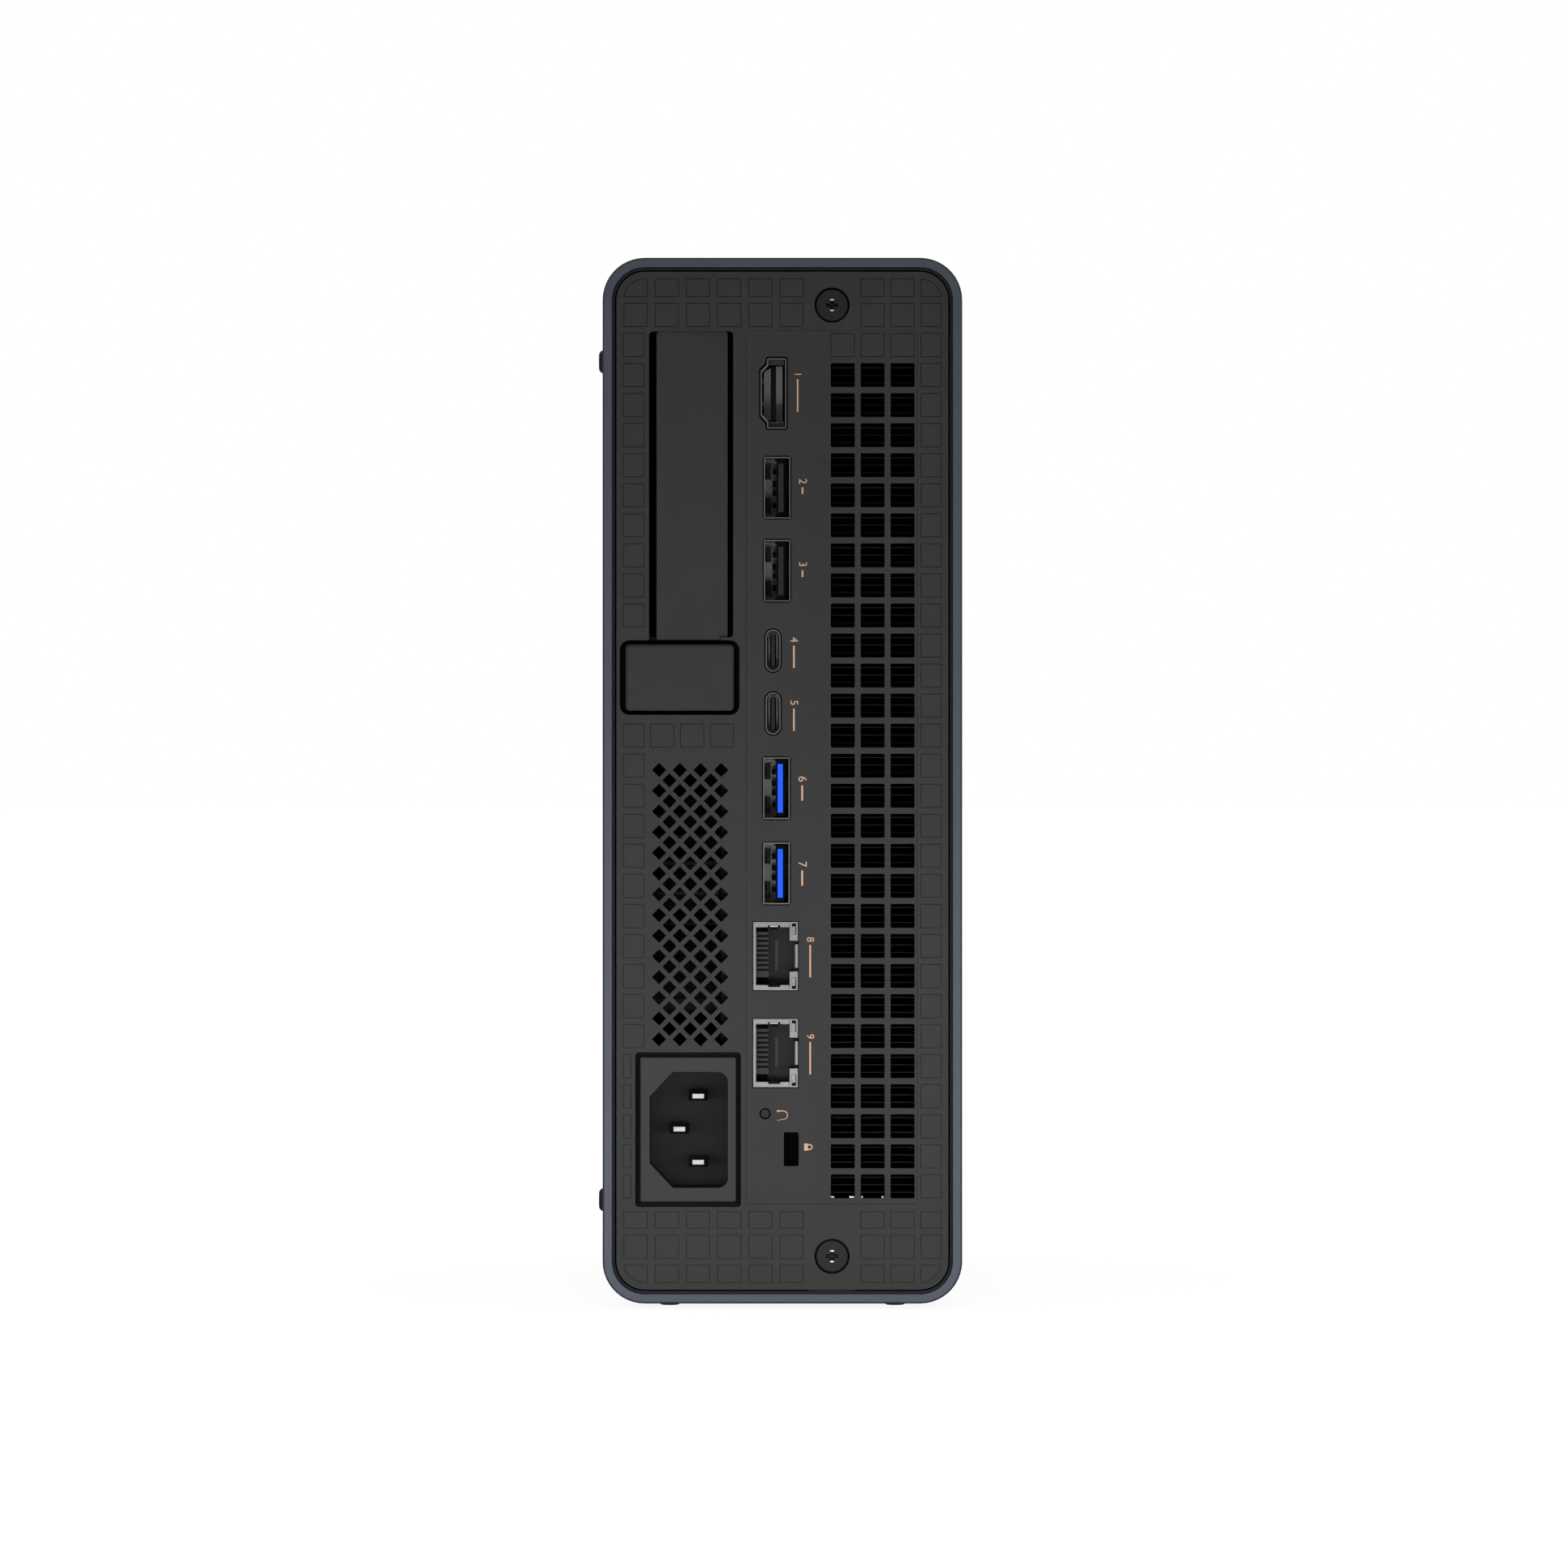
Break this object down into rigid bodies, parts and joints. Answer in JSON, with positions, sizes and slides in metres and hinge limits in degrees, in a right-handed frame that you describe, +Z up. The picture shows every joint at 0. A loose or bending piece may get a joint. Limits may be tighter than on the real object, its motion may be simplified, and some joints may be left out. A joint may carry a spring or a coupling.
{
  "type": "mini pc",
  "caption": "Upright mini workstation: metal sleeve on rubber feet, slide-out chassis with rear sockets, vents, card slot, mains inlet, fans and buttons.",
  "frame": {"origin": "middle of the object's outline, on the floor under the bottom feet", "axes": "+Z up; -Y is the rear face with the sockets and +Y the front with the power button; +X is to the right as the rear face is seen"},
  "size_m": [0.0772, 0.206, 0.2222],
  "materials": {
    "shell_metal": "fine matt anodised, blue-grey",
    "foot_rubber": "matt",
    "lug_steel": "zinc plated",
    "panel_paint": "fine satin powder coat, dark grey",
    "frame_steel": "satin black",
    "black_screw": "black oxide",
    "button_plastic": "fine satin",
    "black_plastic": "satin",
    "blue_plastic": "satin",
    "can_steel": "bright nickel plated",
    "jack_can": "dull nickel plated",
    "lamp_plastic": "clear, frosted",
    "gold_wire": "gold plated",
    "pin_brass": "nickel plated",
    "board_green": "solder mask",
    "chip_black": "moulded",
    "die_metal": "ground",
    "copper": "bare copper",
    "fin_metal": "bare",
    "supply_steel": "zinc plated",
    "ring_plastic": "frosted light guide"
  },
  "bodies": {
    "shell": {"outer_shell": "shell_metal", "bottom_feet": "foot_rubber", "side_feet": "foot_rubber", "screw_lugs": "lug_steel", "front_panel": "panel_paint", "power_ring": "ring_plastic"},
    "chassis": {"rear_panel": "panel_paint", "io_plate": "panel_paint", "bulkhead": "frame_steel", "frame_plates": "frame_steel", "board_tray": "frame_steel", "slot_cover": "panel_paint", "slot_screw": "lug_steel", "button_pocket": "black_plastic", "inlet_body": "black_plastic", "inlet_pins": "pin_brass", "hdmi_insert": "black_plastic", "socket_cans": "can_steel", "usb2_inserts": "black_plastic", "usb3_inserts": "blue_plastic", "usb_c_inserts": "black_plastic", "lan_cans": "jack_can", "lan_inserts": "black_plastic", "lan_lamps": "lamp_plastic", "lan_wires": "gold_wire", "lock_plate": "frame_steel", "main_board": "board_green", "board_screws": "lug_steel", "processor": "die_metal", "board_chips": "chip_black", "cooler_base": "copper", "heat_pipes": "copper", "spreader": "copper", "cooler_fins": "fin_metal", "upper_blower": "black_plastic", "lower_blower": "black_plastic", "supply_case": "supply_steel", "supply_blower": "black_plastic", "supply_board": "board_green", "riser_board": "board_green", "card_slot": "black_plastic", "ssd_sockets": "black_plastic", "ssd_cards": "board_green", "ssd_sinks": "fin_metal", "radio_card": "board_green", "clock_cell": "lug_steel", "front_sockets": "can_steel", "front_inserts": "black_plastic", "audio_jack": "black_plastic", "switches": "black_plastic"},
    "top_washer": {"top_washer": "black_screw"},
    "top_screw": {"top_screw": "black_screw"},
    "bottom_washer": {"bottom_washer": "black_screw"},
    "bottom_screw": {"bottom_screw": "black_screw"},
    "release_button": {"release_button": "button_plastic"},
    "reset_button": {"reset_button": "black_plastic"},
    "power_button": {"power_button": "shell_metal"},
    "upper_rotor": {"upper_rotor": "black_plastic"},
    "lower_rotor": {"lower_rotor": "black_plastic"},
    "supply_rotor": {"supply_rotor": "black_plastic"}
  },
  "joints": [
    {"name": "chassis_slide", "type": "slide", "parent": "shell", "child": "chassis", "axis": [0, -1, 0], "range_m": [0, 0.18]},
    {"name": "top_screw_back", "type": "slide", "parent": "chassis", "child": "top_washer", "axis": [0, -1, 0], "range_m": [0, 0.0035]},
    {"name": "top_screw_turn", "type": "hinge", "parent": "top_washer", "child": "top_screw", "pos_m": [0.01105, -0.102, 0.21225], "axis": [0, -1, 0], "range_deg": [0, 1802]},
    {"name": "bottom_screw_back", "type": "slide", "parent": "chassis", "child": "bottom_washer", "axis": [0, -1, 0], "range_m": [0, 0.0035]},
    {"name": "bottom_screw_turn", "type": "hinge", "parent": "bottom_washer", "child": "bottom_screw", "pos_m": [0.01105, -0.102, 0.01115], "axis": [0, -1, 0], "range_deg": [0, 1802]},
    {"name": "release_press", "type": "slide", "parent": "chassis", "child": "release_button", "axis": [0, 1, 0], "range_m": [0, 0.002], "stiffness_N_per_m": 600},
    {"name": "reset_press", "type": "slide", "parent": "chassis", "child": "reset_button", "axis": [0, 1, 0], "range_m": [0, 0.0004], "stiffness_N_per_m": 600},
    {"name": "power_press", "type": "slide", "parent": "shell", "child": "power_button", "axis": [0, -1, 0], "range_m": [0, 0.0006], "stiffness_N_per_m": 1200},
    {"name": "upper_spin", "type": "hinge", "parent": "chassis", "child": "upper_rotor", "pos_m": [0.0191, -0.0298, 0.1555], "axis": [1, 0, 0], "continuous": true},
    {"name": "lower_spin", "type": "hinge", "parent": "chassis", "child": "lower_rotor", "pos_m": [0.0191, -0.0298, 0.0685], "axis": [1, 0, 0], "continuous": true},
    {"name": "supply_spin", "type": "hinge", "parent": "chassis", "child": "supply_rotor", "pos_m": [-0.02233, -0.06795, 0.0855], "axis": [1, 0, 0], "continuous": true}
  ],
  "couplings": [
    {"joint": "top_screw_turn", "follows": "top_screw_back", "rad_per_m": 8976},
    {"joint": "bottom_screw_turn", "follows": "bottom_screw_back", "rad_per_m": 8976}
  ]
}
